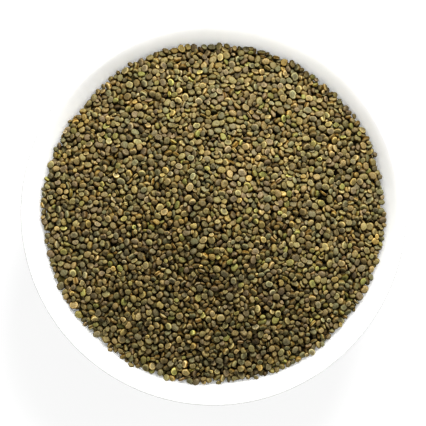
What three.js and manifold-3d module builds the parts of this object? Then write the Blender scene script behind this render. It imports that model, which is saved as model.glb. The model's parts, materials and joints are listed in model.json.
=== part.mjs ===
// A small white porcelain dish heaped with milkvetch seeds.
//
// Millimetres, +Z up. The origin is the middle of the ring that the dish stands on.
// The dish is one turned solid. The seeds are one heap out to its uneven outline: a rounded
// cone that fills the dish, with a seed-sized bump for each seed of its skin.

import * as THREE from "three";
import { mergeVertices } from "three/addons/utils/BufferGeometryUtils.js";
import Module from "manifold-3d";

// Dish
const RIM_RADIUS = 57; // outermost edge of the lip
const LIP_RADIUS = 1.1; // half the thickness of the rounded lip
const MOUTH_SLOPE = THREE.MathUtils.degToRad(60); // steepness of the wall where it meets the lip
const FLAT_RADIUS = 22; // flat middle of the inside
const FLOOR_Z = 6.2; // inside floor above the table
const WALL_AT_LIP = 2 * LIP_RADIUS;
const WALL_AT_FOOT = 3.3;

// Foot ring
const FOOT_OUTER = 27.2;
const FOOT_INNER = 24;
const FOOT_EDGE = 0.6; // chamfer of the ring's resting edge
const RECESS_Z = 2.8; // ceiling of the shallow recess inside the ring
const FOOT_TOP_RADIUS = 28; // inside radius above which the outer wall leaves the foot

// Heap
const HEAP_RADIUS = 51.15; // where the top of the seeds meets the wall
const REPOSE = THREE.MathUtils.degToRad(23); // slope of the heap
const APEX_ROUNDING = 9; // distance over which the peak rounds off
const HEAP_OFF_CENTRE = new THREE.Vector2(0.5, -0.35); // it sits a little off the rim's middle
const SEED_GAP = 0.3; // clearance between the seeds and the glaze

// Low swells that make the heap uneven: each is a wave across it, its heading in degrees.
const SWELLS = [
  { height: 0.35, wavelength: 44, heading: 28, phase: 0.6 },
  { height: 0.3, wavelength: 31, heading: 118, phase: 2.1 },
  { height: 0.22, wavelength: 23, heading: 75, phase: 4.4 },
];

// Seed-sized relief
const BUMP_SPACING = 2.6; // from one seed of the skin to the next
const BUMP_TOP = [0.15, 0.75]; // how far a seed stands above the mean surface
const BUMP_VALLEY = [-0.6, -0.2]; // how deep the gaps between the seeds are
const BUMP_SHIFT = 0.24; // sideways unevenness
const RELIEF_SEED = 2217;

// Fineness
const AROUND = 64;
const OUTER_STEPS = 8;
const INNER_STEPS = 9;
const LIP_STEPS = 5;
const MERGE_DISTANCE = 1e-4;

const MOUTH_RADIUS = RIM_RADIUS - LIP_RADIUS - LIP_RADIUS * Math.sin(MOUTH_SLOPE);
const WALL_RUN = MOUTH_RADIUS - FLAT_RADIUS;
const WALL_RISE = (WALL_RUN * Math.tan(MOUTH_SLOPE)) / 2; // a parabola with that slope at the mouth
const MOUTH_Z = FLOOR_Z + WALL_RISE;
const LIP_CENTRE = new THREE.Vector2(
  RIM_RADIUS - LIP_RADIUS,
  MOUTH_Z - LIP_RADIUS * Math.cos(MOUTH_SLOPE),
);
const DISH_HEIGHT = LIP_CENTRE.y + LIP_RADIUS;
const HEAP_EDGE_Z = insideZ(HEAP_RADIUS);

const wasm = await Module();
wasm.setup();

/** Height of the inside of the dish at a radius. */
function insideZ(radius) {
  const run = Math.max(0, radius - FLAT_RADIUS) / WALL_RUN;
  return FLOOR_Z + WALL_RISE * run * run;
}

/** A point on the inside of the dish, moved by a distance into the porcelain. */
function wallPoint(radius, depth) {
  const run = Math.max(0, radius - FLAT_RADIUS) / WALL_RUN;
  const slope = (2 * WALL_RISE * run) / WALL_RUN;
  const outward = new THREE.Vector2(slope, -1).normalize();
  return new THREE.Vector2(radius, insideZ(radius)).addScaledVector(outward, depth);
}

/** Evenly spaced values from one end to the other, both included. */
function spread(from, to, steps) {
  return Array.from({ length: steps + 1 }, (_, i) => from + ((to - from) * i) / steps);
}

/** A repeatable random number generator (mulberry32), from 0 to 1. */
function randomFrom(seed) {
  let state = seed;
  return () => {
    state = (state + 0x6d2b79f5) | 0;
    let t = Math.imul(state ^ (state >>> 15), 1 | state);
    t = (t + Math.imul(t ^ (t >>> 7), 61 | t)) ^ t;
    return ((t ^ (t >>> 14)) >>> 0) / 4294967296;
  };
}

/** A body turned about the Z axis from a profile of (radius, height) points. */
function turned(profile) {
  return new THREE.LatheGeometry(profile, AROUND).rotateX(Math.PI / 2);
}

/** A closed geometry as a manifold-3d solid. */
function solidOf(geometry) {
  const bare = geometry.clone();
  bare.deleteAttribute("normal");
  bare.deleteAttribute("uv");
  const merged = mergeVertices(bare, MERGE_DISTANCE);
  return new wasm.Manifold(
    new wasm.Mesh({
      numProp: 3,
      vertProperties: merged.attributes.position.array,
      triVerts: new Uint32Array(merged.index.array),
    }),
  );
}

/** A manifold-3d solid as a geometry. */
function geometryOf(solid) {
  const mesh = solid.getMesh();
  const geometry = new THREE.BufferGeometry();
  geometry.setAttribute("position", new THREE.BufferAttribute(mesh.vertProperties, 3));
  geometry.setIndex(new THREE.BufferAttribute(mesh.triVerts, 1));
  geometry.computeVertexNormals();
  return geometry;
}

/** The dish: foot ring, curved wall and rounded lip, turned in one piece. */
function dishGeometry() {
  const foot = [
    [0, RECESS_Z],
    [FOOT_INNER - FOOT_EDGE, RECESS_Z],
    [FOOT_INNER, RECESS_Z - FOOT_EDGE],
    [FOOT_INNER, FOOT_EDGE],
    [FOOT_INNER + FOOT_EDGE, 0],
    [FOOT_OUTER - FOOT_EDGE, 0],
    [FOOT_OUTER, FOOT_EDGE],
  ].map(([radius, z]) => new THREE.Vector2(radius, z));
  const outside = spread(FOOT_TOP_RADIUS, MOUTH_RADIUS, OUTER_STEPS)
    .slice(0, -1)
    .map((radius) => {
      const share = (radius - FOOT_TOP_RADIUS) / (MOUTH_RADIUS - FOOT_TOP_RADIUS);
      return wallPoint(radius, THREE.MathUtils.lerp(WALL_AT_FOOT, WALL_AT_LIP, share));
    });
  const lipStart = MOUTH_SLOPE - Math.PI / 2;
  const lip = spread(lipStart, lipStart + Math.PI, LIP_STEPS).map((angle) =>
    new THREE.Vector2(Math.cos(angle), Math.sin(angle)).multiplyScalar(LIP_RADIUS).add(LIP_CENTRE),
  );
  const inside = spread(MOUTH_RADIUS, FLAT_RADIUS, INNER_STEPS)
    .slice(1)
    .map((radius) => wallPoint(radius, 0));
  return turned([...foot, ...outside, ...lip, ...inside, new THREE.Vector2(0, FLOOR_Z)]);
}

/** The room inside the dish that the seeds fill, a clearance off the glaze. */
function dishRoom() {
  const wall = spread(FLAT_RADIUS, MOUTH_RADIUS, INNER_STEPS).map((radius) =>
    wallPoint(radius, -SEED_GAP),
  );
  const top = 2 * DISH_HEIGHT; // well above the peak of the heap
  const last = wall[wall.length - 1];
  return turned([
    new THREE.Vector2(0, FLOOR_Z + SEED_GAP),
    ...wall,
    new THREE.Vector2(last.x, top),
    new THREE.Vector2(0, top),
  ]);
}

/** Height that the swells add at a point. */
function swellAt(x, y) {
  return SWELLS.reduce((sum, { height, wavelength, heading, phase }) => {
    const direction = THREE.MathUtils.degToRad(heading);
    const along = x * Math.cos(direction) + y * Math.sin(direction);
    return sum + height * Math.sin((2 * Math.PI * along) / wavelength + phase);
  }, 0);
}

/** Mean height of the top of the seeds: a cone with a rounded peak and low swells. */
function heapZ(x, y) {
  const dx = x - HEAP_OFF_CENTRE.x;
  const dy = y - HEAP_OFF_CENTRE.y;
  const fall = Math.hypot(HEAP_RADIUS, APEX_ROUNDING) - Math.hypot(dx, dy, APEX_ROUNDING);
  return HEAP_EDGE_Z + Math.tan(REPOSE) * fall + swellAt(x, y);
}

/**
 * A block whose top is the bumpy skin of the heap. Its top is a net of rings, ring k with 6k
 * points. One point in three is the top of a seed, and the six round it lie in the gaps.
 */
function bumpyBlock() {
  const random = randomFrom(RELIEF_SEED);
  const between = ([low, high]) => low + (high - low) * random();
  const step = BUMP_SPACING / Math.sqrt(3);
  const rings = Math.ceil(MOUTH_RADIUS / step);
  const points = [];
  const first = [0]; // each ring's first point
  const place = (radius, angle, isTop) => {
    const x = radius * Math.cos(angle) + BUMP_SHIFT * (2 * random() - 1);
    const y = radius * Math.sin(angle) + BUMP_SHIFT * (2 * random() - 1);
    points.push(x, y, heapZ(x, y) + between(isTop ? BUMP_TOP : BUMP_VALLEY));
  };
  place(0, 0, true);
  for (let ring = 1; ring <= rings; ring++) {
    first.push(points.length / 3);
    for (let i = 0; i < 6 * ring; i++) {
      place(ring * step, (2 * Math.PI * i) / (6 * ring), (ring + (i % ring)) % 3 === 0);
    }
  }

  const faces = [];
  const at = (ring, i) => (ring === 0 ? 0 : first[ring] + (i % (6 * ring)));
  for (let ring = 1; ring <= rings; ring++) {
    for (let side = 0; side < 6; side++) {
      for (let j = 0; j < ring; j++) {
        const outer = side * ring + j;
        const inner = side * (ring - 1) + j;
        faces.push(at(ring, outer), at(ring, outer + 1), at(ring - 1, inner));
        if (j < ring - 1) {
          faces.push(at(ring - 1, inner), at(ring, outer + 1), at(ring - 1, inner + 1));
        }
      }
    }
  }

  // The sides go straight down from the last ring to a point under the middle.
  const around = 6 * rings;
  const lower = points.length / 3;
  for (let i = 0; i < around; i++) {
    const top = 3 * at(rings, i);
    points.push(points[top], points[top + 1], 0);
  }
  const bottom = points.length / 3;
  points.push(0, 0, 0);
  for (let i = 0; i < around; i++) {
    const next = (i + 1) % around;
    faces.push(at(rings, i), lower + i, at(rings, next));
    faces.push(at(rings, next), lower + i, lower + next);
    faces.push(lower + i, bottom, lower + next);
  }
  const geometry = new THREE.BufferGeometry();
  geometry.setAttribute("position", new THREE.Float32BufferAttribute(points, 3));
  geometry.setIndex(faces);
  return geometry;
}

/** The heap of seeds: the bumpy block, cut to the room inside the dish. */
function heapGeometry() {
  return geometryOf(solidOf(bumpyBlock()).intersect(solidOf(dishRoom())));
}

const porcelain = new THREE.MeshStandardMaterial({ color: 0xf6f6f4, roughness: 0.18, metalness: 0 });
const seedCoat = new THREE.MeshStandardMaterial({ color: 0x7b6a40, roughness: 0.6, metalness: 0 });

const dish = new THREE.Mesh(dishGeometry(), porcelain);
dish.name = "dish";

const seedHeap = new THREE.Mesh(heapGeometry(), seedCoat);
seedHeap.name = "seed_heap";

const dishOfSeeds = new THREE.Group();
dishOfSeeds.add(dish, seedHeap);

export default dishOfSeeds;
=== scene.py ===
"""Looks of a small white porcelain dish heaped with milkvetch seeds.

The dish is turned finely and glazed. The seeds are settled one by one on a height map of the heap,
so that each lies on those under it, and Geometry Nodes then put one of nine seed shapes at each place.
"""

import json
import logging
import math
from dataclasses import dataclass, field
from enum import Enum
from typing import Any

import bpy
import numpy as np
from mathutils import Matrix, Vector

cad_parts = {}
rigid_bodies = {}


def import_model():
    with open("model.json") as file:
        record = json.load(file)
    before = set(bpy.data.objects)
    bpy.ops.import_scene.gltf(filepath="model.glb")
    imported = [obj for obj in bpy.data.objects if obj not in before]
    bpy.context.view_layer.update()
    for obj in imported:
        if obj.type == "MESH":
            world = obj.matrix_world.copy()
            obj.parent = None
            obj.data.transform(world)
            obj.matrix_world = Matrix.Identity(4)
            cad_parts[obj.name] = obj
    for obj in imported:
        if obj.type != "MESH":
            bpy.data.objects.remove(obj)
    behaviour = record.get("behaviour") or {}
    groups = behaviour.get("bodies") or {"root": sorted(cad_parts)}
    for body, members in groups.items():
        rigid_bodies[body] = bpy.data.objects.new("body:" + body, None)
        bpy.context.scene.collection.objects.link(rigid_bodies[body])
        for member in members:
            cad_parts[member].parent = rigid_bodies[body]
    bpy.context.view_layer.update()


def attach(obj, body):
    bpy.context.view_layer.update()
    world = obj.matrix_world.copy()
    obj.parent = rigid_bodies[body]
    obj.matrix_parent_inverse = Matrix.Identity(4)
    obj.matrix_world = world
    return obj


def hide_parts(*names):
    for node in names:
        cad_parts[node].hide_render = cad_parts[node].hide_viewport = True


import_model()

MM = 0.001
FRAME_PIXELS = 426  # width and height of the picture
WHITE_LIGHT = (1.0, 1.0, 1.0)
Color = tuple[float, float, float]
Pair = tuple[float, float]
log = logging.getLogger("dish_of_seeds")


# ---------------------------------------------------------------------------------------------
# Node trees
# ---------------------------------------------------------------------------------------------


class Value:
    """A number socket in a node tree. Each operator on it adds a Math node."""

    def __init__(self, graph: "Graph", socket: bpy.types.NodeSocket) -> None:
        """Keeps the tree and the socket."""
        self.graph = graph
        self.socket = socket

    def _math(self, operation: str, left: Any, right: Any) -> "Value":
        """Adds one Math node.

        Args:
            operation: the Math node's operation.
            left: its first value or link.
            right: its second value or link.

        Returns:
            The node's result.
        """
        node = self.graph.node("ShaderNodeMath", {"operation": operation}, {0: left, 1: right})
        return Value(self.graph, node.outputs[0])

    def __add__(self, other: Any) -> "Value":
        """Returns self + other."""
        return self._math("ADD", self, other)

    def __radd__(self, other: Any) -> "Value":
        """Returns other + self."""
        return self._math("ADD", other, self)

    def __sub__(self, other: Any) -> "Value":
        """Returns self - other."""
        return self._math("SUBTRACT", self, other)

    def __rsub__(self, other: Any) -> "Value":
        """Returns other - self."""
        return self._math("SUBTRACT", other, self)

    def __mul__(self, other: Any) -> "Value":
        """Returns self * other."""
        return self._math("MULTIPLY", self, other)

    def __rmul__(self, other: Any) -> "Value":
        """Returns other * self."""
        return self._math("MULTIPLY", other, self)


class Graph:
    """A node tree that nodes are added to and linked in."""

    def __init__(self, tree: bpy.types.NodeTree) -> None:
        """Empties the tree."""
        self.tree = tree
        tree.nodes.clear()

    def node(self, kind: str, settings: dict | None = None, sockets: dict | None = None) -> Any:
        """Adds a node.

        Args:
            kind: the node's type.
            settings: its properties, which are set before its sockets.
            sockets: for each input, by name or index, its value or the socket linked to it.

        Returns:
            The node.
        """
        made = self.tree.nodes.new(kind)
        for name, value in (settings or {}).items():
            setattr(made, name, value)
        for key, value in (sockets or {}).items():
            if isinstance(value, Value):
                value = value.socket
            if isinstance(value, bpy.types.NodeSocket):
                self.tree.links.new(value, made.inputs[key])
            else:
                made.inputs[key].default_value = value
        return made


class ShaderGraph(Graph):
    """A material's node tree, with the patterns that the finishes share."""

    def __init__(self, name: str) -> None:
        """Makes the material and its Object coordinates.

        Args:
            name: the material's name.
        """
        self.material = bpy.data.materials.new(name)
        self.material.use_nodes = True
        super().__init__(self.material.node_tree)
        self.place = self.node("ShaderNodeTexCoord").outputs["Object"]

    def noise(self, size: float, detail: float = 2.0, roughness: float = 0.5) -> Value:
        """Cloudy noise.

        Args:
            size: the width of a cloud, in metres.
            detail: octaves of finer noise.
            roughness: how much the finer octaves count.

        Returns:
            A number about 0.5.
        """
        made = self.node(
            "ShaderNodeTexNoise",
            {"noise_dimensions": "3D"},
            {"Vector": self.place, "Scale": 1 / size, "Detail": detail, "Roughness": roughness},
        )
        return Value(self, made.outputs[0])

    def attribute(self, name: str) -> Value:
        """Returns a number that the mesh holds under a name."""
        made = self.node("ShaderNodeAttribute", {"attribute_name": name})
        return Value(self, made.outputs["Fac"])

    def mix(self, factor: Any, first: Any, second: Any, blend: str = "MIX") -> bpy.types.NodeSocket:
        """Mixes two colours.

        Args:
            factor: how much of the second, from 0 to 1.
            first: the first colour.
            second: the second colour.
            blend: the Mix node's blend type.

        Returns:
            The mixed colour's socket.
        """
        made = self.node(
            "ShaderNodeMix", {"data_type": "RGBA", "blend_type": blend}, {0: factor, 6: first, 7: second}
        )
        return made.outputs[2]

    def ramp(self, value: Value, low: float, high: float) -> Value:
        """Maps a number smoothly to the range from 0 to 1.

        Args:
            value: the number.
            low: where the result is 0.
            high: where it is 1.

        Returns:
            The mapped number.
        """
        made = self.node(
            "ShaderNodeMapRange",
            {"interpolation_type": "SMOOTHSTEP"},
            {"Value": value, "From Min": low, "From Max": high},
        )
        return Value(self, made.outputs[0])

    def bump(self, height: Value, depth: float, strength: float) -> bpy.types.NodeSocket:
        """Raises fine relief.

        Args:
            height: the pattern.
            depth: how high a step of 1 stands, in metres.
            strength: how much of it shows, from 0 to 1.

        Returns:
            The normal's socket.
        """
        made = self.node("ShaderNodeBump", {}, {"Height": height, "Distance": depth, "Strength": strength})
        return made.outputs[0]

    def surface(self, sockets: dict) -> bpy.types.Material:
        """Ends the tree in a Principled BSDF.

        Args:
            sockets: its sockets, as node() takes them.

        Returns:
            The material.
        """
        shader = self.node("ShaderNodeBsdfPrincipled", {}, sockets)
        self.node("ShaderNodeOutputMaterial", {}, {"Surface": shader.outputs[0]})
        return self.material


def tinted(color: Color) -> tuple[float, float, float, float]:
    """Returns a colour with full alpha, as the sockets take it."""
    return (*color, 1.0)


# ---------------------------------------------------------------------------------------------
# Finishes
# ---------------------------------------------------------------------------------------------


@dataclass(frozen=True)
class Glaze:
    """Clear glossy glaze over white porcelain, with the bare ring that the dish stands on and painted shade
    outside.
    """

    white: Color = (0.875, 0.889, 0.872)
    shade: Color = (0.845, 0.862, 0.84)  # where the glaze has pooled
    painted_outer_shade: Color = (0.4, 0.405, 0.395)  # painted shade, on the lip's outer edge and the outer wall
    bare: Color = (0.8, 0.775, 0.73)
    bare_below: float = 0.7 * MM
    pool_width: float = 18 * MM
    wave_width: float = 9 * MM
    grain_width: float = 0.35 * MM  # of the bare porcelain
    relief: float = 0.12 * MM
    gloss: float = 0.1  # roughness where the glaze has not pooled
    glow_depth: float = 11 * MM  # how far light spreads in the thin porcelain

    def material(self) -> bpy.types.Material:
        """Makes the glaze.

        Returns:
            Its material, which reads "outside" from the mesh.
        """
        graph = ShaderGraph("porcelain_glaze")
        height = Value(graph, graph.node("ShaderNodeSeparateXYZ", {}, {0: graph.place}).outputs["Z"])
        bare = 1 - graph.ramp(height, 0.6 * self.bare_below, self.bare_below)
        pooled = graph.ramp(graph.noise(self.pool_width, 1.0), 0.4, 0.65)
        grain = graph.noise(self.grain_width, 3.0)
        inner = graph.mix(pooled, tinted(self.white), tinted(self.shade))
        # Painted shade: the glaze greys where the mesh's "outside" is high, over the lip's outer edge and
        # the outer wall
        color = graph.mix(graph.attribute("outside"), inner, tinted(self.painted_outer_shade))
        waves = graph.noise(self.wave_width, 1.0) * (1 - bare) + grain * bare * 0.25
        return graph.surface(
            {
                "Base Color": graph.mix(bare, color, tinted(self.bare)),
                "Roughness": self.gloss + 0.05 * pooled + 0.6 * bare,
                "Normal": graph.bump(waves, self.relief, 0.35),
                "IOR": 1.5,
                "Subsurface Weight": 1.0,
                "Subsurface Radius": (1.0, 1.0, 1.0),
                "Subsurface Scale": self.glow_depth,
            }
        )


@dataclass(frozen=True)
class SeedCoat:
    """The dry coat of one kind of seed, which turns from green to ripe in blotches, with painted shade on
    its edge.
    """

    name: str
    ripe: Color
    green: Color
    eye: Color  # the dent in the middle of each face
    edge_brown_and_shade: Color = (0.5, 0.36, 0.12)  # times the ripe colour, at the seed's scar as its own brown, and on its edge partly its own brown and partly painted shade of the gaps between seeds
    dapple: Color = (0.68, 0.65, 0.49)  # times the coat's colour, in the darkest mottles
    gain: float = 1.17  # times all of it
    blotch_width: float = 0.75 * MM
    mottle_width: float = 0.3 * MM
    relief_width: float = 0.5 * MM
    relief: float = 0.22 * MM
    gloss: float = 0.12  # specular level, low because the coat is dry

    def material(self) -> bpy.types.Material:
        """Makes the coat.

        Returns:
            Its material, which reads from the mesh how each seed differs and how far out a point lies.
        """
        graph = ShaderGraph(self.name)
        rim = graph.attribute("rim")
        border = graph.ramp(rim, 0.5, 0.8) * (1 - graph.ramp(rim, 0.86, 1.0))
        blotch = graph.noise(self.blotch_width, 2.0)
        mottle = graph.ramp(graph.noise(self.mottle_width, 3.0, 0.6), 0.32, 0.68)
        greenness = graph.ramp(graph.attribute("greenness") + (blotch - 0.5) * 1.6, 0.2, 0.8)
        base = graph.mix(greenness, tinted(self.ripe), tinted(self.green))
        eye = graph.attribute("eye") * (1 - graph.ramp(rim + (mottle - 0.5) * 0.25, 0.2, 0.78))
        dented = graph.mix(eye, base, tinted(self.eye))
        brown_and_shade = tuple(c * share for c, share in zip(self.ripe, self.edge_brown_and_shade, strict=True))
        # Painted shade on the edge: darker and browner towards the outline, where seeds meet, partly the
        # coat's own brown edge
        sides = graph.ramp(rim + (blotch - 0.5) * 0.3, 0.84, 1.02) * 0.88
        browned_and_shaded = graph.mix(sides, dented, tinted(brown_and_shade))
        scarred = graph.mix(graph.attribute("scar") * 0.5, browned_and_shaded, tinted(brown_and_shade))
        dapples = graph.mix(mottle, tinted(self.dapple), tinted(WHITE_LIGHT))
        dappled = graph.mix(1.0, scarred, dapples, "MULTIPLY")
        gain = graph.attribute("tone") * (1 + graph.attribute("border") * border) * self.gain
        toned = graph.node("ShaderNodeVectorMath", {"operation": "SCALE"}, {0: dappled, "Scale": gain})
        relief = graph.noise(self.relief_width, 3.0, 0.6)
        return graph.surface(
            {
                "Base Color": toned.outputs[0],
                "Roughness": 0.62 - 0.16 * mottle,
                "Normal": graph.bump(relief, self.relief, 0.6),
                "Specular IOR Level": self.gloss,
            }
        )


@dataclass(frozen=True)
class ShadedDeepSeeds:
    """The seeds under the skin of the heap, seen only through its gaps, coloured with painted shade as dark
    as seeds in deep shade.
    """

    # Painted shade: both colours are far darker than the seeds on top
    dark: Color = (0.022, 0.013, 0.003)
    pale: Color = (0.06, 0.04, 0.011)
    patch_width: float = 1.6 * MM
    relief_width: float = 0.9 * MM
    relief: float = 0.4 * MM

    def material(self) -> bpy.types.Material:
        """Makes the finish.

        Returns:
            Its material.
        """
        graph = ShaderGraph("deep_seeds")
        patches = graph.ramp(graph.noise(self.patch_width, 2.0), 0.4, 0.65)
        return graph.surface(
            {
                "Base Color": graph.mix(patches, tinted(self.dark), tinted(self.pale)),
                "Roughness": 0.6 + 0.2 * patches,
                "Normal": graph.bump(graph.noise(self.relief_width, 2.0), self.relief, 0.6),
            }
        )


@dataclass(frozen=True)
class Tabletop:
    """The plain pale surface that the dish stands on."""

    color: Color = (0.13, 0.13, 0.13)
    patch: Color = (0.12, 0.12, 0.12)
    patch_width: float = 60 * MM
    glow: float = 0.5  # its own light, which keeps the shadows pale

    def material(self) -> bpy.types.Material:
        """Makes the finish.

        Returns:
            Its material.
        """
        graph = ShaderGraph("pale_tabletop")
        patches = graph.ramp(graph.noise(self.patch_width, 1.0), 0.3, 0.7)
        return graph.surface(
            {
                "Base Color": graph.mix(patches * 0.5, tinted(self.color), tinted(self.patch)),
                "Roughness": 0.75 + 0.1 * patches,
                "Emission Color": tinted(WHITE_LIGHT),
                "Emission Strength": self.glow,
            }
        )


# ---------------------------------------------------------------------------------------------
# Forms that the dish and the heap share
# ---------------------------------------------------------------------------------------------


@dataclass(frozen=True)
class DishProfile:
    """Section of the dish. Its sizes are those of the model's solid."""

    rim_radius: float = 57 * MM
    lip_radius: float = 1.1 * MM  # of the rounding
    mouth_slope: float = math.radians(60)  # of the inner wall where it meets the lip
    flat_radius: float = 22 * MM  # of the flat middle inside
    floor_z: float = 6.2 * MM  # height of that middle
    wall_at_foot: float = 3.3 * MM  # thickness
    foot_outer: float = 27.2 * MM
    foot_inner: float = 24 * MM
    foot_edge: float = 0.6 * MM  # of the rounding
    recess_z: float = 2.8 * MM  # height of the underside within the foot
    foot_top_radius: float = 28 * MM  # inside the dish, over the top of the foot

    @property
    def mouth_radius(self) -> float:
        """Radius at which the inner wall meets the lip."""
        return self.rim_radius - self.lip_radius * (1 + math.sin(self.mouth_slope))

    @property
    def wall_run(self) -> float:
        """Distance from the flat middle to the mouth."""
        return self.mouth_radius - self.flat_radius

    @property
    def wall_rise(self) -> float:
        """Height of the inner wall, a parabola with the slope of the mouth at its top."""
        return self.wall_run * math.tan(self.mouth_slope) / 2

    @property
    def lip_centre(self) -> Pair:
        """Radius and height of the middle of the rounded lip."""
        z = self.floor_z + self.wall_rise - self.lip_radius * math.cos(self.mouth_slope)
        return self.rim_radius - self.lip_radius, z

    @property
    def height(self) -> float:
        """Height of the top of the lip."""
        return self.lip_centre[1] + self.lip_radius

    def inside_z(self, radius: Any) -> Any:
        """Returns the height of the inside at a radius, or at each of an array of them."""
        run = np.maximum(0, radius - self.flat_radius) / self.wall_run
        return self.floor_z + self.wall_rise * run * run

    def wall_point(self, radius: float, depth: float) -> Pair:
        """Finds a point in the wall.

        Args:
            radius: where on the inside it starts.
            depth: how far it then goes straight into the porcelain.

        Returns:
            Its radius and height.
        """
        run = max(0.0, radius - self.flat_radius) / self.wall_run
        slope = 2 * self.wall_rise * run / self.wall_run
        length = math.hypot(slope, 1)
        return radius + depth * slope / length, float(self.inside_z(radius)) - depth / length


@dataclass(frozen=True)
class HeapForm:
    """Mean surface of the heap: a cone, a little off the middle, with a rounded peak and low swells."""

    dish: DishProfile
    radius: float = 51.15 * MM
    repose: float = math.radians(23)
    apex_rounding: float = 9 * MM
    off_centre: Pair = (0.5 * MM, -0.35 * MM)
    # Each swell's height, wavelength, heading in degrees and phase
    swells: tuple[tuple[float, float, float, float], ...] = (
        (0.35 * MM, 44 * MM, 28, 0.6),
        (0.3 * MM, 31 * MM, 118, 2.1),
        (0.22 * MM, 23 * MM, 75, 4.4),
    )

    def z(self, x: Any, y: Any) -> Any:
        """Works out the height of the heap.

        Args:
            x: a place along X, or an array of them.
            y: the same along Y.

        Returns:
            The height there.
        """
        dx, dy = x - self.off_centre[0], y - self.off_centre[1]
        apart = np.sqrt(dx * dx + dy * dy + self.apex_rounding**2)
        fall = math.hypot(self.radius, self.apex_rounding) - apart
        height = self.dish.inside_z(self.radius) + math.tan(self.repose) * fall
        for swell, wavelength, heading, phase in self.swells:
            along = x * math.cos(math.radians(heading)) + y * math.sin(math.radians(heading))
            height = height + swell * np.sin(2 * math.pi * along / wavelength + phase)
        return height


def in_scene(name: str, data: Any) -> bpy.types.Object:
    """Puts an object in the scene.

    Args:
        name: its name.
        data: its mesh, light or camera.

    Returns:
        The object.
    """
    made = bpy.data.objects.new(name, data)
    bpy.context.scene.collection.objects.link(made)
    return made


def mesh_object(name: str, points: Any, faces: list, material: bpy.types.Material) -> bpy.types.Object:
    """Makes a smooth mesh in the scene.

    Args:
        name: the object's name.
        points: its vertices.
        faces: its faces, as lists of vertex numbers.
        material: its material.

    Returns:
        The object.
    """
    mesh = bpy.data.meshes.new(name)
    mesh.from_pydata([tuple(p) for p in points], [], faces)
    mesh.polygons.foreach_set("use_smooth", [True] * len(mesh.polygons))
    mesh.materials.append(material)
    return in_scene(name, mesh)


def ring_faces(rings: int, around: int) -> list[list[int]]:
    """Closes a turned surface: a pole, rings of vertices, and a pole at the far end.

    Args:
        rings: the number of rings. Ring k starts at vertex 1 + k * around, and each runs anticlockwise.
        around: vertices in a ring.

    Returns:
        The faces, which point outwards where the first pole is the upper one.
    """
    faces = []
    last = 1 + rings * around
    for i in range(around):
        j = (i + 1) % around
        faces.append([0, 1 + i, 1 + j])
        for k in range(rings - 1):
            upper, lower = 1 + k * around, 1 + (k + 1) * around
            faces.append([upper + i, lower + i, lower + j, upper + j])
        below = 1 + (rings - 1) * around
        faces.append([below + i, last, below + j])
    return faces


# ---------------------------------------------------------------------------------------------
# The dish
# ---------------------------------------------------------------------------------------------


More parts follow.
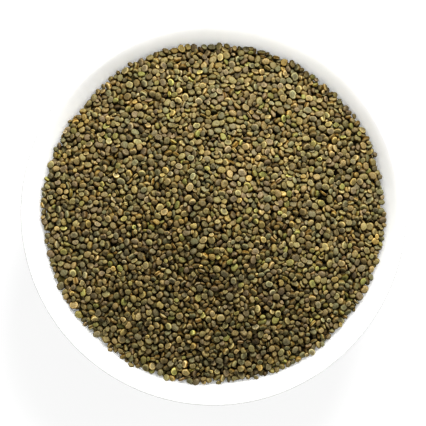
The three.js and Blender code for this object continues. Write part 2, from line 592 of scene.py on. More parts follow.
@dataclass
class Dish:
    """The porcelain dish, turned finely and a touch uneven, as a fired piece is."""

    profile: DishProfile
    around: int = 256
    wall_steps: int = 34
    lip_steps: int = 16
    corner_steps: int = 4
    under_rings: Pair = (0.7, 0.35)  # radii on the underside, beside the foot's inner radius
    # Steps past the middle of the lip, and how much painted shade shows there; the last share holds on over
    # the outer wall and the foot
    painted_shade_steps: tuple[Pair, ...] = ((0, 0.0), (2, 1.0), (5, 1.0), (8, 0.7))
    uneven: float = 0.06 * MM  # at the lip, fading towards the foot
    # Each wave of that unevenness has its share, its number round the dish and its phase
    outward_waves: tuple[tuple[float, int, float], ...] = ((0.6, 2, 0.8), (0.4, 5, 2.0))
    upward_waves: tuple[tuple[float, int, float], ...] = ((0.5, 3, 0.3),)

    @staticmethod
    def _waved(waves: tuple[tuple[float, int, float], ...], angle: float) -> float:
        """Returns the sum of some waves at an angle round the dish."""
        return sum(share * math.sin(number * angle + phase) for share, number, phase in waves)

    def _section(self) -> list[Pair]:
        """Lays out the section of the dish.

        Returns:
            Radius and height of its points, from the middle inside, over the lip, to the middle below.
        """
        p = self.profile
        top_in = np.linspace(p.flat_radius / 4, p.mouth_radius, self.wall_steps)
        inside = [(r, float(p.inside_z(r))) for r in top_in[:-1]]
        start = p.mouth_slope + math.pi / 2
        centre_r, centre_z = p.lip_centre
        lip = [
            (centre_r + p.lip_radius * math.cos(a), centre_z + p.lip_radius * math.sin(a))
            for a in np.linspace(start, start - math.pi, self.lip_steps)
        ]
        outside = []
        for r in np.linspace(p.mouth_radius, p.foot_top_radius, self.wall_steps)[1:]:
            share = (r - p.foot_top_radius) / (p.mouth_radius - p.foot_top_radius)
            depth = p.wall_at_foot + (2 * p.lip_radius - p.wall_at_foot) * share
            outside.append(p.wall_point(r, depth))
        foot = [
            *self._corner(p.foot_outer - p.foot_edge, p.foot_edge, 0.0, -math.pi / 2),
            *self._corner(p.foot_inner + p.foot_edge, p.foot_edge, -math.pi / 2, -math.pi),
            *self._corner(p.foot_inner - p.foot_edge, p.recess_z - p.foot_edge, 0.0, math.pi / 2),
        ]
        under = [(share * p.foot_inner, p.recess_z) for share in self.under_rings]
        return [*inside, *lip, *outside, *foot, *under]

    def _corner(self, radius: float, z: float, first: float, last: float) -> list[Pair]:
        """Rounds a corner of the foot.

        Args:
            radius: the radius of the rounding's middle.
            z: its height.
            first: the angle that the rounding starts at.
            last: the angle that it ends at.

        Returns:
            Radius and height of its points.
        """
        edge = self.profile.foot_edge
        return [
            (radius + edge * math.cos(a), z + edge * math.sin(a))
            for a in np.linspace(first, last, self.corner_steps + 1)
        ]

    def build(self) -> bpy.types.Object:
        """Makes the dish.

        Returns:
            The dish, which replaces the model's.
        """
        p = self.profile
        section = self._section()
        points = [(0.0, 0.0, p.floor_z)]
        lip_middle = self.wall_steps - 1 + self.lip_steps // 2
        steps, painted_shade_shares = zip(*self.painted_shade_steps, strict=True)
        # "outside" holds each point's share of painted shade
        outside = [painted_shade_shares[0]]
        for number, (radius, z) in enumerate(section):
            outside += [float(np.interp(number - lip_middle, steps, painted_shade_shares))] * self.around
            lift = self.uneven * z / p.height
            for i in range(self.around):
                a = 2 * math.pi * i / self.around
                r = radius + lift * self._waved(self.outward_waves, a)
                up = z + lift * self._waved(self.upward_waves, a)
                points.append((r * math.cos(a), r * math.sin(a), up))
        points.append((0.0, 0.0, p.recess_z))
        outside.append(painted_shade_shares[-1])
        faces = ring_faces(len(section), self.around)
        made = mesh_object("porcelain_dish", points, faces, Glaze().material())
        # "outside" holds each point's share of painted shade
        made.data.attributes.new("outside", "FLOAT", "POINT").data.foreach_set("value", outside)
        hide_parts("dish")
        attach(made, "root")
        return made


# ---------------------------------------------------------------------------------------------
# The seeds
# ---------------------------------------------------------------------------------------------


@dataclass(frozen=True)
class SeedBatch:
    """Where settled seeds lie: an array row for each seed."""

    centre: np.ndarray
    axes: np.ndarray  # rotation matrices whose columns are the seed's length, width and thickness
    half: np.ndarray  # half sizes along those axes

    def take(self, rows: np.ndarray) -> "SeedBatch":
        """Returns the batch of the given rows."""
        return SeedBatch(self.centre[rows], self.axes[rows], self.half[rows])


@dataclass
class HeightMap:
    """Heights on a square grid over the dish, read and written through windows that a seed fits in."""

    cell: float
    axis: np.ndarray  # places of the grid's columns along X, and of its rows along Y
    form: np.ndarray  # how high the seeds should reach
    height: np.ndarray  # how high they reach so far
    inside: np.ndarray  # whether a seed may fall there
    reach: int  # cells from the middle of a window to its side

    def __post_init__(self) -> None:
        """Works out what every window shares."""
        self.owner = np.full(self.form.shape, -1, np.int32)  # number of the seed on top
        self.last = len(self.axis) - self.reach - 1
        self.dx, self.dy = np.meshgrid(*[np.arange(-self.reach, self.reach + 1) * self.cell] * 2)
        self.near = self.dx * self.dx + self.dy * self.dy

    def clamp(self, row: int, column: int) -> tuple[int, int]:
        """Returns the nearest place whose window lies in the map."""
        return min(max(row, self.reach), self.last), min(max(column, self.reach), self.last)

    def window(self, values: np.ndarray, row: int, column: int) -> np.ndarray:
        """Returns the part of one of the grids that a seed at that place may cover."""
        reach = self.reach
        return values[row - reach : row + reach + 1, column - reach : column + reach + 1]


@dataclass
class Settling:
    """Drops seeds one by one on a height map of the dish and the heap's inner part.

    Each seed starts over a spot that the heap's form lacks, rolls to the lowest place nearby and takes
    the lowest of a few lies there. Deep spots are filled before shallow ones.
    """

    heap: HeapForm
    half_length: Pair = (1.23 * MM, 0.09 * MM)  # mean and spread
    width_share: Pair = (0.87, 0.05)  # mean and spread, beside the length
    half_thickness: Pair = (0.62 * MM, 0.08 * MM)  # mean and spread
    depth: float = 3.0 * MM  # of loose seeds over the core
    cell: float = 0.12 * MM
    margin: float = 1 * MM  # between the map's side and the mouth of the dish
    reach: float = 1.6 * MM  # the most that a seed covers from its middle
    # How far under the heap's form a spot has to be in each round, and the size of its seeds
    rounds: tuple[Pair, ...] = (
        (2.2 * MM, 1.0),
        (1.6 * MM, 1.0),
        (1.1 * MM, 1.0),
        (0.7 * MM, 1.0),
        (0.4 * MM, 1.0),
        (0.2 * MM, 1.0),
        (1.2 * MM, 0.8),
        (1.0 * MM, 0.68),
    )
    repeats: int = 3  # of each round
    crowding: float = 1.5  # tries for each seed that the low spots have room for
    seed_room: float = 2.9 * MM * MM
    rolls: int = 2
    roll_reach: float = 0.8 * MM
    roll_width: float = 0.45 * MM  # half the width that a low place is averaged over
    lies: int = 3
    stray: int = 2  # cells that each lie is tried away from the lowest place
    foot: float = 0.95 * MM  # radius of the ground that a seed leans on
    foot_softness: float = 0.5 * MM  # how far under its highest point the ground still counts
    on_edge: float = 0.27  # share of seeds that stand on their edge
    edge_tilt: Pair = (math.radians(40), math.radians(85))  # least and most
    wobble: float = 0.32  # spread of a seed's lean
    steepest: float = 1.1  # slope that a seed leans with
    closeness: float = 0.95  # share of its size that a seed keeps clear of others
    tallest: float = 0.95 * MM  # how far a seed may stand above the heap's form
    edge_fall: float = 0.35 * MM  # how far the wall may stand over the form where seeds still fall
    edge_cover: float = 0.45 * MM  # the least that the seeds stand over the wall at the heap's edge
    hidden_depth: float = 1.7 * MM  # where seeds that nothing shows are left out
    seed: int = 5
    _map: HeightMap = field(init=False, repr=False)

    def _prepare(self) -> None:
        """Lays out the height map."""
        dish = self.heap.dish
        half = int(math.ceil((dish.mouth_radius - self.margin) / self.cell))
        axis = np.arange(-half, half + 1) * self.cell
        x, y = np.meshgrid(axis, axis)
        wall = dish.inside_z(np.hypot(x, y))
        form = self.heap.z(x, y)
        self._map = HeightMap(
            cell=self.cell,
            axis=axis,
            form=np.maximum(form, wall + self.edge_cover),
            height=np.maximum(form - self.depth, wall),
            inside=form > wall - self.edge_fall,
            reach=int(math.ceil(self.reach / self.cell)),
        )

    def _roll(self, row: int, column: int) -> tuple[int, int]:
        """Moves to the lowest place nearby, measured from the heap's form.

        Args:
            row: the map's row to start from.
            column: its column.

        Returns:
            The row and column where the seed stops.
        """
        ground = self._map
        soft = max(1, round(self.roll_width / self.cell))
        allowed = ground.near[soft:-soft, soft:-soft] < self.roll_reach**2
        for _ in range(self.rolls):
            lack = ground.window(ground.height, row, column) - ground.window(ground.form, row, column)
            total = np.cumsum(np.cumsum(lack, 0), 1)
            wide = 2 * soft
            mean = total[wide:, wide:] - total[:-wide, wide:] - total[wide:, :-wide] + total[:-wide, :-wide]
            lowest = int(np.argmin(np.where(allowed, mean, np.inf)))
            down, across = divmod(lowest, mean.shape[1])
            away = soft - ground.reach
            row, column = ground.clamp(row + down + away, column + across + away)
        return row, column

    def _lean(self, heights: np.ndarray) -> np.ndarray:
        """Fits the slope of what a seed would lie on.

        Args:
            heights: the window of the height map.

        Returns:
            The slope along X and along Y.
        """
        foot = self._map.near < self.foot**2
        x, y, z = self._map.dx[foot], self._map.dy[foot], heights[foot]
        weight = np.exp((z - z.max()) / self.foot_softness)
        weight /= weight.sum()
        x, y, z = x - weight @ x, y - weight @ y, z - weight @ z
        xx, xy, yy = weight @ (x * x), weight @ (x * y), weight @ (y * y)
        xz, yz = weight @ (x * z), weight @ (y * z)
        slope = np.array([xz * yy - yz * xy, yz * xx - xz * xy]) / (xx * yy - xy * xy)
        return slope * min(1.0, self.steepest / max(float(np.hypot(*slope)), 1e-6))

    def _axes(self, draw: np.random.Generator, heights: np.ndarray, upright: bool) -> np.ndarray:
        """Chooses how a seed lies.

        Args:
            draw: the random draws.
            heights: the window of the height map.
            upright: whether it stands on its edge.

        Returns:
            A rotation matrix whose columns are the seed's length, width and thickness.
        """
        yaw = draw.uniform(0, 2 * math.pi)
        if upright:
            tilt = draw.uniform(*self.edge_tilt)
            heading = draw.uniform(0, 2 * math.pi)
            up = np.array([math.cos(heading), math.sin(heading), 1 / math.tan(tilt)])
        else:
            up = np.array([*(draw.normal(0, self.wobble, 2) - self._lean(heights)), 1.0])
        up /= np.linalg.norm(up)
        along = np.array([math.cos(yaw), math.sin(yaw), 0.0])
        along -= up * (along @ up)
        along /= np.linalg.norm(along)
        return np.stack([along, np.cross(up, along), up], 1)

    def _touch(self, heights: np.ndarray, axes: np.ndarray, half: np.ndarray) -> tuple[float, Any, Any]:
        """Lets a seed down until it touches, taken as an ellipsoid.

        Args:
            heights: the window of the height map.
            axes: how the seed lies.
            half: its half sizes.

        Returns:
            The height of its middle, the cells that it covers, and its top over them.
        """
        dx, dy = self._map.dx, self._map.dy
        form = (axes / half**2) @ axes.T
        linear = form[0, 2] * dx + form[1, 2] * dy
        rest = form[0, 0] * dx * dx + 2 * form[0, 1] * dx * dy + form[1, 1] * dy * dy - 1
        inner = linear * linear - form[2, 2] * rest
        covers = inner > 0
        root = np.sqrt(inner[covers])
        middle = float((heights[covers] + (linear[covers] + root) / form[2, 2]).max())
        return middle, covers, middle + (root - linear[covers]) / form[2, 2]

    def _settle(
        self, draw: np.random.Generator, row: int, column: int, size: float, number: int
    ) -> tuple | None:
        """Settles one seed and writes its top into the height map.

        Args:
            draw: the random draws.
            row: the map's row where it falls.
            column: its column.
            size: its size beside a whole seed's.
            number: its number.

        Returns:
            Its place, axes and half sizes, or None where it would stand too high.
        """
        ground = self._map
        row, column = self._roll(*ground.clamp(row, column))
        length, thickness = draw.normal(*self.half_length), draw.normal(*self.half_thickness)
        half = size * np.array([length, length * draw.normal(*self.width_share), thickness])
        upright = draw.random() < self.on_edge
        best = None
        for _ in range(self.lies):
            down, across = draw.integers(-self.stray, self.stray + 1, 2)
            place = ground.clamp(row + int(down), column + int(across))
            heights = ground.window(ground.height, *place)
            axes = self._axes(draw, heights, upright)
            middle, covers, top = self._touch(heights, axes, self.closeness * half)
            rise = float(top.max()) - ground.form[place]
            if best is None or rise < best[0]:
                best = (rise, place, axes, middle, covers, top)
        rise, place, axes, middle, covers, top = best
        if rise > self.tallest:
            return None
        heights, owner = ground.window(ground.height, *place), ground.window(ground.owner, *place)
        owner[covers] = np.where(top > heights[covers], number, owner[covers])
        heights[covers] = np.maximum(heights[covers], top)
        return (ground.axis[place[1]], ground.axis[place[0]], middle), axes, half

    def run(self) -> SeedBatch:
        """Settles the seeds.

        Returns:
            Those over the heap that can be seen from above, or lie just under them.
        """
        self._prepare()
        draw = np.random.default_rng(self.seed)
        form, height = self._map.form, self._map.height
        settled = []
        for least, size in [entry for entry in self.rounds for _ in range(self.repeats)]:
            low = np.flatnonzero(self._map.inside & (form - height > least))
            count = int(self.crowding * len(low) * (self.cell / size) ** 2 / self.seed_room)
            for spot in draw.choice(low, min(len(low), count), replace=False):
                row, column = divmod(int(spot), len(form))
                if form[row, column] - height[row, column] > least:
                    settled.append(self._settle(draw, row, column, size, len(settled)))
        seen = set(np.unique(self._map.owner).tolist())
        kept = []
        for number, entry in enumerate(settled):
            if entry is None:
                continue
            x, y, z = entry[0]
            surface = self.heap.z(x, y)
            on_heap = surface > self.heap.dish.inside_z(math.hypot(x, y))
            if on_heap and (number in seen or z > surface - self.hidden_depth):
                kept.append(entry)
        return SeedBatch(*[np.array(values) for values in zip(*kept, strict=True)])


@dataclass(frozen=True)
class SeedShape:
    """One shape of seed, in half sizes: a thick wafer with a notch and a dent in each face."""

    name: str
    notch: float  # depth of the notch in the outline
    dent: float  # how much thinner the middle is
    flat: float  # 2 for round faces, more for flat ones
    square: float  # how far the outline swells between its axes
    skew: float  # how far it leans to one side
    blunt: float  # how much wider the notched end is
    lumps: float  # how uneven it is
    seed: int
    share: float = 0.13  # of all seeds, beside the other shapes' shares
    broken: float = math.inf  # how far from the middle its broken side runs
    broken_heading: float = math.radians(110)  # from the notch
    notch_width: float = 0.3  # radians
    scar_width: float = 0.45  # radians, of the scar that lies in the notch
    waves: tuple[float, ...] = (1.4, 2.3, 3.1)  # of the unevenness
    angles: tuple[float, ...] = (0, 18, 42, 74, 108, 144, 180, 216, 252, 286, 318, 342)  # from the notch
    rings: Pair = (0.52, 0.85)  # radii from the middle of a face to the outline
    map_half: Pair = (0.2, 0.4)  # half size of each face in the map, across and up

    def _outline(self, angle: float) -> float:
        """Works out the outline.

        Args:
            angle: the angle from the notch.

        Returns:
            The outline's radius there.
        """
        off = (angle + math.pi) % (2 * math.pi) - math.pi
        dip = self.notch * math.exp(-((off / self.notch_width) ** 2))
        corners = 1 + self.square * (1 - math.cos(4 * off)) / 2 + self.skew * math.sin(2 * off)
        whole = corners * (1 + self.blunt * math.cos(off)) - dip
        # The broken side is straight, and runs off where it turns away from its heading
        return min(whole, self.broken / max(math.cos(off - self.broken_heading), 0.01))

    def _swelling(self, points: np.ndarray) -> np.ndarray:
        """Makes the shape uneven, as shrinkage leaves a dry seed.

        Args:
            points: its points.

        Returns:
            What each of them is multiplied by.
        """
        draw = np.random.default_rng(self.seed)
        total = np.ones(len(points))
        for waves in self.waves:
            direction = draw.normal(size=3)
            direction /= np.linalg.norm(direction)
            total += self.lumps * np.sin(waves * points @ direction + draw.uniform(0, 2 * math.pi))
        return total

    def build(self) -> bpy.types.Object:
        """Makes the shape as an object outside the scene.

        Returns:
            The object, with "rim", "scar" and a map of its faces in its mesh.
        """
        turns = [math.radians(a) for a in self.angles]
        upper = [(r, math.sqrt(1 - r**self.flat)) for r in self.rings]
        levels = [*upper, (1.0, 0.0), *[(r, -h) for r, h in reversed(upper)]]
        points, rim, scar = [(0.0, 0.0, 1 - self.dent)], [0.0], [0.0]
        for radius, height in levels:
            for turn in turns:
                out = radius * (1 + (self._outline(turn) - 1) * radius)
                points.append((out * math.sin(turn), -out * math.cos(turn), height))
                rim.append(radius)
                off = abs((turn + math.pi) % (2 * math.pi) - math.pi)
                scar.append(math.exp(-((off / self.scar_width) ** 2)) * radius**3)
        points.append((0.0, 0.0, self.dent - 1))
        rim.append(0.0)
        scar.append(0.0)
        points = np.array(points) * self._swelling(np.array(points))[:, None]
        mesh = bpy.data.meshes.new(self.name)
        mesh.from_pydata(points.tolist(), [], ring_faces(len(levels), len(turns)))
        mesh.polygons.foreach_set("use_smooth", [True] * len(mesh.polygons))
        mesh.attributes.new("rim", "FLOAT", "POINT").data.foreach_set("value", rim)
        mesh.attributes.new("scar", "FLOAT", "POINT").data.foreach_set("value", scar)
        self._lay_flat(mesh, len(levels) // 2)
        return bpy.data.objects.new(self.name, mesh)

    def _lay_flat(self, mesh: bpy.types.Mesh, outline: int) -> None:
        """Maps the upper face into the left half of a square and the lower into the right half.

        Args:
            mesh: the seed's mesh.
            outline: the number of the ring that is its outline.
        """
        layer = mesh.uv_layers.new(name="seed_map")
        across, up = self.map_half
        for polygon in mesh.polygons:
            lowest_ring = max((v - 1) // len(self.angles) for v in polygon.vertices)
            middle = 0.75 if lowest_ring > outline else 0.25
            for corner in polygon.loop_indices:
                x, y, _ = mesh.vertices[mesh.loops[corner].vertex_index].co
                layer.data[corner].uv = (middle + across * x, 0.5 + up * y)


class SeedKind(Enum):
    """The kinds of seed in the heap. Each is one piece with a coat of its own."""

    OLIVE = "olive"
    TAN = "tan"
    GREY_GREEN = "grey_green"
    MAUVE = "mauve"
    YELLOW_GREEN = "yellow_green"
    GOLDEN = "golden"
    DARK = "dark"


@dataclass(frozen=True)
class KindOfSeed:
    """How common a kind is, and how much its seeds differ."""

    share: float  # of all seeds
    coat: SeedCoat
    tone_spread: float = 0.13
    greenness: Pair = (0.15, 0.85)  # least and most
    eye: float = 1.0  # the most that the dent's colour shows


KINDS = {
    kind: KindOfSeed(share, SeedCoat(f"{kind.value}_coat", ripe, green, eye))
    for kind, share, ripe, green, eye in (
        (SeedKind.OLIVE, 0.3, (0.213, 0.177, 0.111), (0.208, 0.193, 0.115), (0.146, 0.128, 0.087)),
        (SeedKind.TAN, 0.26, (0.247, 0.199, 0.119), (0.24, 0.213, 0.123), (0.181, 0.152, 0.093)),
        (SeedKind.GREY_GREEN, 0.17, (0.191, 0.168, 0.119), (0.186, 0.181, 0.121), (0.129, 0.118, 0.083)),
        (SeedKind.MAUVE, 0.12, (0.202, 0.165, 0.118), (0.199, 0.174, 0.12), (0.133, 0.112, 0.084)),
        (SeedKind.YELLOW_GREEN, 0.07, (0.223, 0.199, 0.101), (0.225, 0.223, 0.104), (0.147, 0.147, 0.078)),
        (SeedKind.GOLDEN, 0.06, (0.262, 0.204, 0.1), (0.256, 0.219, 0.117), (0.185, 0.149, 0.083)),
        (SeedKind.DARK, 0.02, (0.122, 0.098, 0.066), (0.125, 0.111, 0.073), (0.081, 0.068, 0.053)),
    )
}


@dataclass
class SeedSower:
    """Puts a seed at each settled place with Geometry Nodes."""

    plumpness: float = 1.0  # times each seed's thickness
    palest_border: float = 0.9  # how much paler the ring round a face may be
    # After its name each shape has its notch, dent, flat, square, skew, blunt and lumps
    shapes: tuple[SeedShape, ...] = (
        SeedShape("round_seed", 0.1, 0.08, 2.6, 0.02, 0.03, 0.0, 0.03, seed=1),
        SeedShape("even_seed", 0.14, 0.0, 2.2, 0.03, -0.05, 0.03, 0.05, seed=2),
        SeedShape("kidney_seed", 0.36, 0.14, 2.8, 0.05, 0.04, -0.04, 0.04, seed=3),
        SeedShape("square_seed", 0.2, 0.3, 3.6, 0.12, 0.06, 0.04, 0.05, seed=4),
        SeedShape("plump_seed", 0.08, -0.03, 2.0, 0.03, 0.04, -0.05, 0.06, seed=5),
        SeedShape("pinched_seed", 0.26, 0.4, 3.2, 0.0, -0.09, 0.09, 0.07, seed=6),
        SeedShape("dished_seed", 0.16, 0.5, 4.0, 0.04, -0.03, 0.0, 0.05, seed=7),
        SeedShape("skewed_seed", 0.2, 0.08, 2.4, 0.06, 0.13, -0.08, 0.09, seed=8),
        SeedShape("broken_seed", 0.1, 0.1, 3.6, 0.08, 0.05, 0.0, 0.07, seed=9, share=0.05, broken=0.3),
    )
    seed: int = 11

    def _tree(self) -> bpy.types.NodeTree:
        """Builds the node tree.

        Returns:
            A tree that takes points with a turn, half size, shape and cell of the map, and ends in one
            plain mesh with its map.
        """
        tree = bpy.data.node_groups.new("sow_seeds", "GeometryNodeTree")
        graph = Graph(tree)
        for name, kind in (
            ("Places", "NodeSocketGeometry"),
            ("Shapes", "NodeSocketCollection"),
            ("Plumpness", "NodeSocketFloat"),
            ("Columns", "NodeSocketFloat"),
            ("Rows", "NodeSocketFloat"),
            ("Coat", "NodeSocketMaterial"),
        ):
            tree.interface.new_socket(name, in_out="INPUT", socket_type=kind)
        tree.interface.new_socket("Seeds", in_out="OUTPUT", socket_type="NodeSocketGeometry")
        given = graph.node("NodeGroupInput").outputs

        def stored(name: str, kind: str = "FLOAT_VECTOR") -> bpy.types.NodeSocket:
            """Returns a named attribute's socket."""
            made = graph.node("GeometryNodeInputNamedAttribute", {"data_type": kind}, {"Name": name})
            return made.outputs["Attribute"]

        def combined(x: Any, y: Any, z: Any) -> bpy.types.NodeSocket:
            """Returns a vector of three numbers."""
            return graph.node("ShaderNodeCombineXYZ", {}, {0: x, 1: y, 2: z}).outputs[0]

        def vector_math(operation: str, first: Any, second: Any) -> bpy.types.NodeSocket:
            """Returns the result of a Vector Math node."""
            settings = {"operation": operation}
            return graph.node("ShaderNodeVectorMath", settings, {0: first, 1: second}).outputs[0]

        shapes = graph.node(
            "GeometryNodeCollectionInfo",
            {"transform_space": "ORIGINAL"},
            {"Collection": given["Shapes"], "Separate Children": True, "Reset Children": True},
        )
        plump = vector_math("MULTIPLY", stored("half_size"), combined(1.0, 1.0, given["Plumpness"]))
        placed = graph.node(
            "GeometryNodeInstanceOnPoints",
            {},
            {
                "Points": given["Places"],
                "Instance": shapes.outputs[0],
                "Pick Instance": True,
                "Instance Index": stored("shape", "INT"),
                "Rotation": stored("turn", "QUATERNION"),
                "Scale": plump,
            },
        )
        whole = graph.node("GeometryNodeRealizeInstances", {}, {"Geometry": placed.outputs[0]})
        moved = vector_math("ADD", stored("seed_map"), stored("map_cell"))
        fitted = vector_math("DIVIDE", moved, combined(given["Columns"], given["Rows"], 1.0))
        mapped = graph.node(
            "GeometryNodeStoreNamedAttribute",
            {"data_type": "FLOAT2", "domain": "CORNER"},
            {"Geometry": whole.outputs[0], "Name": "OFBake", "Value": fitted},
        )
        coated = graph.node(
            "GeometryNodeSetMaterial", {}, {"Geometry": mapped.outputs[0], "Material": given["Coat"]}
        )
        graph.node("NodeGroupOutput", {}, {0: coated.outputs[0]})
        return tree

    def _places(
        self, batch: SeedBatch, kind: KindOfSeed, draw: np.random.Generator
    ) -> tuple[bpy.types.Object, int, int]:
        """Lays out the points of one kind, with how each of its seeds differs.

        Args:
            batch: its seeds.
            kind: the kind.
            draw: the random draws.

        Returns:
            The points' object, and the columns and rows of the map that holds the seeds' faces.
        """
        count = len(batch.centre)
        rows = math.ceil(math.sqrt(2 * count))  # a seed's two faces lie side by side in its cell
        columns = math.ceil(count / rows)
        mesh = bpy.data.meshes.new("places")
        mesh.vertices.add(count)
        mesh.vertices.foreach_set("co", batch.centre.ravel())
        turns = [Matrix(a.tolist()).to_quaternion() for a in batch.axes]
        number = np.arange(count)
        shares = np.array([shape.share for shape in self.shapes])
        cell = np.stack([number % columns, number // columns, 0 * number], 1)
        for name, data_type, values, key in (
            ("turn", "QUATERNION", np.array([tuple(q) for q in turns]), "value"),
            ("half_size", "FLOAT_VECTOR", batch.half, "vector"),
            ("map_cell", "FLOAT_VECTOR", cell, "vector"),
            ("shape", "INT", draw.choice(len(shares), count, p=shares / shares.sum()), "value"),
            ("tone", "FLOAT", np.exp(draw.normal(0, kind.tone_spread, count)), "value"),
            ("greenness", "FLOAT", draw.uniform(*kind.greenness, count), "value"),
            ("eye", "FLOAT", kind.eye * draw.random(count) ** 2, "value"),
            ("border", "FLOAT", self.palest_border * draw.random(count) ** 3, "value"),
        ):
            mesh.attributes.new(name, data_type, "POINT").data.foreach_set(key, np.ravel(values))
        return in_scene("places", mesh), columns, rows

    def sow(self, batch: SeedBatch) -> list[bpy.types.Object]:
        """Makes the seeds.

        Args:
            batch: where they lie.

        Returns:
            One mesh for each kind.
        """
        draw = np.random.default_rng(self.seed)
        tree = self._tree()
        shapes = bpy.data.collections.new("seed_shapes")
        for number, shape in enumerate(self.shapes):
            made = shape.build()
            made.name = f"{number}_{shape.name}"
            shapes.objects.link(made)
        identifiers = {s.name: s.identifier for s in tree.interface.items_tree if s.in_out == "INPUT"}
        kind_shares = [kind.share for kind in KINDS.values()]
        chosen = draw.choice(len(KINDS), len(batch.centre), p=kind_shares)
        pieces = []
        for number, (name, kind) in enumerate(KINDS.items()):
            places, columns, rows = self._places(batch.take(np.flatnonzero(chosen == number)), kind, draw)
            modifier = places.modifiers.new("sow", "NODES")
            modifier.node_group = tree
            for given, value in (
                ("Shapes", shapes),
                ("Plumpness", self.plumpness),
                ("Columns", float(columns)),
                ("Rows", float(rows)),
                ("Coat", kind.coat.material()),
            ):
                modifier[identifiers[given]] = value
            ready = places.evaluated_get(bpy.context.evaluated_depsgraph_get())
            mesh = bpy.data.meshes.new_from_object(ready)
            bpy.data.objects.remove(places)
            for spare in ("seed_map", "map_cell", "half_size", "turn", "shape"):
                if spare in mesh.attributes:
                    mesh.attributes.remove(mesh.attributes[spare])
            piece = in_scene(f"seeds_{name.value}", mesh)
            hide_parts("seed_heap")
            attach(piece, "root")
            pieces.append(piece)
        for made in list(shapes.objects):
            bpy.data.objects.remove(made)
        bpy.data.collections.remove(shapes)
        return pieces


@dataclass
class HeapCore:
    """The inner part of the heap, closed, with seed-sized relief on top, coloured with painted shade."""

    heap: HeapForm
    depth: float = 2.9 * MM  # under the heap's surface
    around: int = 180
    rings: int = 44
    wall_rings: int = 16
    gap: float = 0.35 * MM  # between the core and the glaze
    relief: float = 0.35 * MM
    edge_steps: int = 600  # places tried from the middle to the mouth, to find the core's edge
    edge_back: float = 0.2 * MM  # how far the edge then stays back
    wall_back: float = 0.3 * MM  # how far the side stays back from the edge
    seed: int = 3

    def build(self) -> bpy.types.Object:
        """Makes the core.

        Returns:
            The core, which with the seeds replaces the model's heap.
        """
        draw = np.random.default_rng(self.seed)
        dish = self.heap.dish
        angles = 2 * math.pi * np.arange(self.around) / self.around
        cos, sin = np.cos(angles), np.sin(angles)
        # Where the core's top meets the glaze in each direction
        radii = np.linspace(0, dish.mouth_radius, self.edge_steps)[:, None]
        above = self.heap.z(radii * cos, radii * sin) - self.depth > dish.inside_z(radii) + self.gap
        edge = radii[np.argmin(above, 0), 0] - self.edge_back
        points = [(0.0, 0.0, float(self.heap.z(0.0, 0.0)) - self.depth)]
        for share in np.linspace(0, 1, self.rings + 1)[1:]:
            x, y = share * edge * cos, share * edge * sin
            bumps = self.relief * draw.uniform(-1, 1, self.around) * (share < 1)
            points += zip(x, y, self.heap.z(x, y) - self.depth + bumps, strict=True)
        for share in np.linspace(1, 0, self.wall_rings + 1)[:-1]:
            r = share * (edge - self.wall_back)
            points += zip(r * cos, r * sin, dish.inside_z(r) + self.gap, strict=True)
        points.append((0.0, 0.0, dish.floor_z + self.gap))
        faces = ring_faces(self.rings + self.wall_rings, self.around)
        # The core's colour is painted shade
        made = mesh_object("deep_seeds", points, faces, ShadedDeepSeeds().material())
        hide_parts("seed_heap")
        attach(made, "root")
        return made


# ---------------------------------------------------------------------------------------------
# The studio
# ---------------------------------------------------------------------------------------------


@dataclass(frozen=True)
class Lamp:
    """A square soft light that shines at the dish."""

    name: str
    heading: float  # degrees anticlockwise from +X, seen from above
    elevation: float  # degrees above the tabletop
    distance: float
    size: float
    watts: float

    def place(self, target: Vector) -> None:
        """Hangs the light so that it faces a point.

        Args:
            target: the point.
        """
        data = bpy.data.lights.new(self.name, "AREA")
        data.shape = "SQUARE"
        data.size = self.size
        data.energy = self.watts
        made = in_scene(self.name, data)
        heading, elevation = math.radians(self.heading), math.radians(self.elevation)
        run = math.cos(elevation)
        direction = Vector((math.cos(heading) * run, math.sin(heading) * run, math.sin(elevation)))
        made.location = target + direction * self.distance
        made.rotation_euler = direction.to_track_quat("Z", "Y").to_euler()


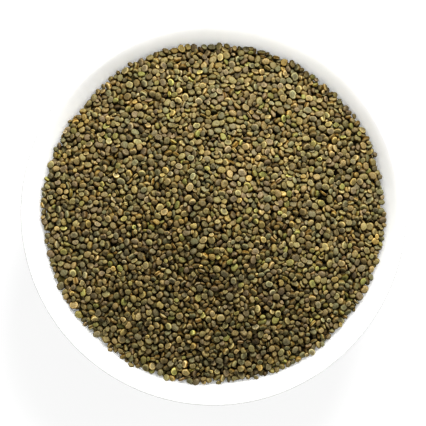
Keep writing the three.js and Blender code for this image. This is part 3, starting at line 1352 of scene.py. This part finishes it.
@dataclass
class Studio:
    """Pale floor, soft light and the camera straight above."""

    dish: DishProfile
    frame_width: float = FRAME_PIXELS / (2 * 192.8) * 2 * 57 * MM  # the rim's radius is 192.8 pixels
    camera_distance: float = 1.0  # above the top of the rim
    sensor: float = 36.0  # millimetres, as the lens is
    floor_half: float = 1.5
    floor_gap: float = 0.03 * MM  # keeps the floor out of the plane of the foot
    rim_middle: Pair = (213.3, 213.05)  # pixel of the middle of the rim
    lamps: tuple[Lamp, ...] = (
        Lamp("key", heading=74, elevation=43, distance=0.75, size=0.3, watts=6.4),
    )
    sky: float = 0.44  # strength of its even light

    def build(self) -> None:
        """Sets the floor, the lights, the sky and the camera."""
        half = self.floor_half
        sides = ((-1, -1), (1, -1), (1, 1), (-1, 1))
        corners = [(x * half, y * half, -self.floor_gap) for x, y in sides]
        mesh_object("tabletop", corners, [[0, 1, 2, 3]], Tabletop().material())
        target = Vector((0, 0, self.dish.height))
        for lamp in self.lamps:
            lamp.place(target)
        world = bpy.data.worlds.new("soft_sky")
        bpy.context.scene.world = world
        world.use_nodes = True
        graph = Graph(world.node_tree)
        even = {"Color": tinted(WHITE_LIGHT), "Strength": self.sky}
        sky = graph.node("ShaderNodeBackground", {}, even)
        graph.node("ShaderNodeOutputWorld", {}, {0: sky.outputs[0]})
        self._camera()
        view = bpy.context.scene.view_settings
        view.view_transform = "Standard"
        view.look = "Very High Contrast"

    def _camera(self) -> None:
        """Hangs the camera so that the rim falls on its pixels."""
        data = bpy.data.cameras.new("camera")
        data.sensor_width = self.sensor
        data.lens = self.sensor * self.camera_distance / self.frame_width
        made = in_scene("camera", data)
        pixel = self.frame_width / FRAME_PIXELS
        right, down = (place - FRAME_PIXELS / 2 for place in self.rim_middle)
        made.location = (-right * pixel, down * pixel, self.dish.height + self.camera_distance)
        bpy.context.scene.camera = made


def main() -> None:
    """Builds the dish, its seeds and the studio."""
    logging.basicConfig(level=logging.INFO, format="%(message)s")
    profile = DishProfile()
    heap = HeapForm(profile)
    pieces = [Dish(profile).build(), HeapCore(heap).build()]
    batch = Settling(heap).run()
    log.info("settled %d seeds", len(batch.centre))
    pieces += SeedSower().sow(batch)
    Studio(profile).build()
    for piece in pieces:
        log.info("%s: %d faces", piece.name, len(piece.data.polygons))


if __name__ == "__main__":
    main()
